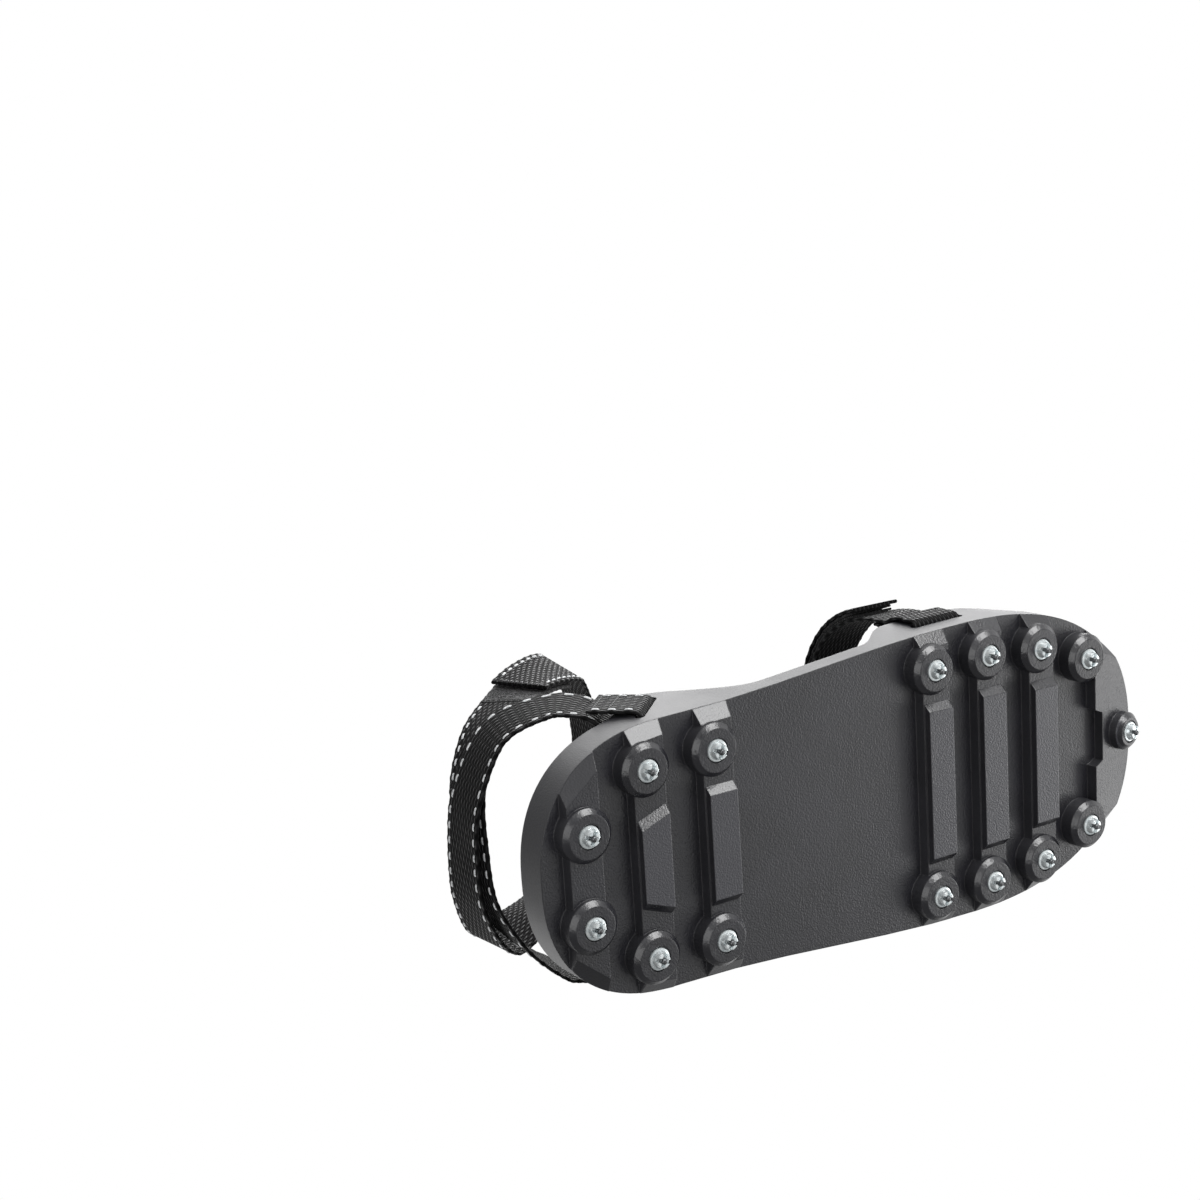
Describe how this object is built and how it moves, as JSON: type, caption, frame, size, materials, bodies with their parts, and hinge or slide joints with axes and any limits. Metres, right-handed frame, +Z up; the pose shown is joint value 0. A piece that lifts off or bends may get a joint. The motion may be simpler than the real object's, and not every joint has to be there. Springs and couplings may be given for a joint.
{
  "type": "anti-slip overshoe",
  "caption": "Rubber overshoe tray with studded tread bars, held on a boot by a toe strap, a forefoot strap and crossed heel straps that close round the ankle with hook-and-loop tails.",
  "frame": {"origin": "middle of the bounding box on the plane of the stud points", "axes": "+Z up, toe along -Y, inner side of the right foot along +X"},
  "size_m": [0.133, 0.313, 0.1754],
  "materials": {
    "rubber": "satin black moulded rubber with a fine pebble grain",
    "zinc": "bright zinc plate",
    "carbide": "dull sintered carbide",
    "webbing": "black woven webbing with two lines of white reflective stitches",
    "pile": "black hook tape and loop pile"
  },
  "bodies": {
    "tray": {"tray": "rubber", "heel_stud_1": "zinc", "heel_stud_2": "zinc", "heel_stud_3": "zinc", "heel_stud_4": "zinc", "heel_stud_5": "zinc", "heel_stud_6": "zinc", "forefoot_stud_1": "zinc", "forefoot_stud_2": "zinc", "forefoot_stud_3": "zinc", "forefoot_stud_4": "zinc", "forefoot_stud_5": "zinc", "forefoot_stud_6": "zinc", "forefoot_stud_7": "zinc", "forefoot_stud_8": "zinc", "toe_stud": "zinc", "heel_stud_pins": "carbide", "forefoot_stud_pins": "carbide", "toe_stud_pin": "carbide", "toe_strap": "webbing", "toe_loop_patch": "pile", "forefoot_strap_lateral": "webbing", "forefoot_strap_medial": "webbing", "forefoot_loop_patch": "pile", "heel_loop_lateral": "webbing", "heel_loop_medial": "webbing"},
    "ankle_strap": {"heel_strap_lateral": "webbing", "heel_strap_medial": "webbing", "ankle_loop_patch": "pile"},
    "ankle_tail": {"ankle_strap_tail": "webbing", "ankle_hook_patch": "pile"},
    "forefoot_tail": {"forefoot_strap_tail": "webbing", "forefoot_hook_patch": "pile"},
    "toe_tail": {"toe_strap_tail": "webbing", "toe_hook_patch": "pile"}
  },
  "joints": [
    {"name": "ankle_strap_swing", "type": "hinge", "parent": "tray", "child": "ankle_strap", "pos_m": [0, 0.10837, 0.04356], "axis": [1, 0, 0], "range_deg": [-20, 25]},
    {"name": "ankle_tail_peel", "type": "hinge", "parent": "ankle_strap", "child": "ankle_tail", "pos_m": [-0.0477, 0.06865, 0.1364], "axis": [-0.438, 0.5004, 0.7468], "range_deg": [0, 70]},
    {"name": "forefoot_tail_peel", "type": "hinge", "parent": "tray", "child": "forefoot_tail", "pos_m": [-0.01681, -0.05319, 0.10301], "axis": [0, 1, 0], "range_deg": [0, 80]},
    {"name": "toe_tail_peel", "type": "hinge", "parent": "tray", "child": "toe_tail", "pos_m": [0, -0.07344, 0.10516], "axis": [-1, 0, 0], "range_deg": [0, 80]}
  ]
}
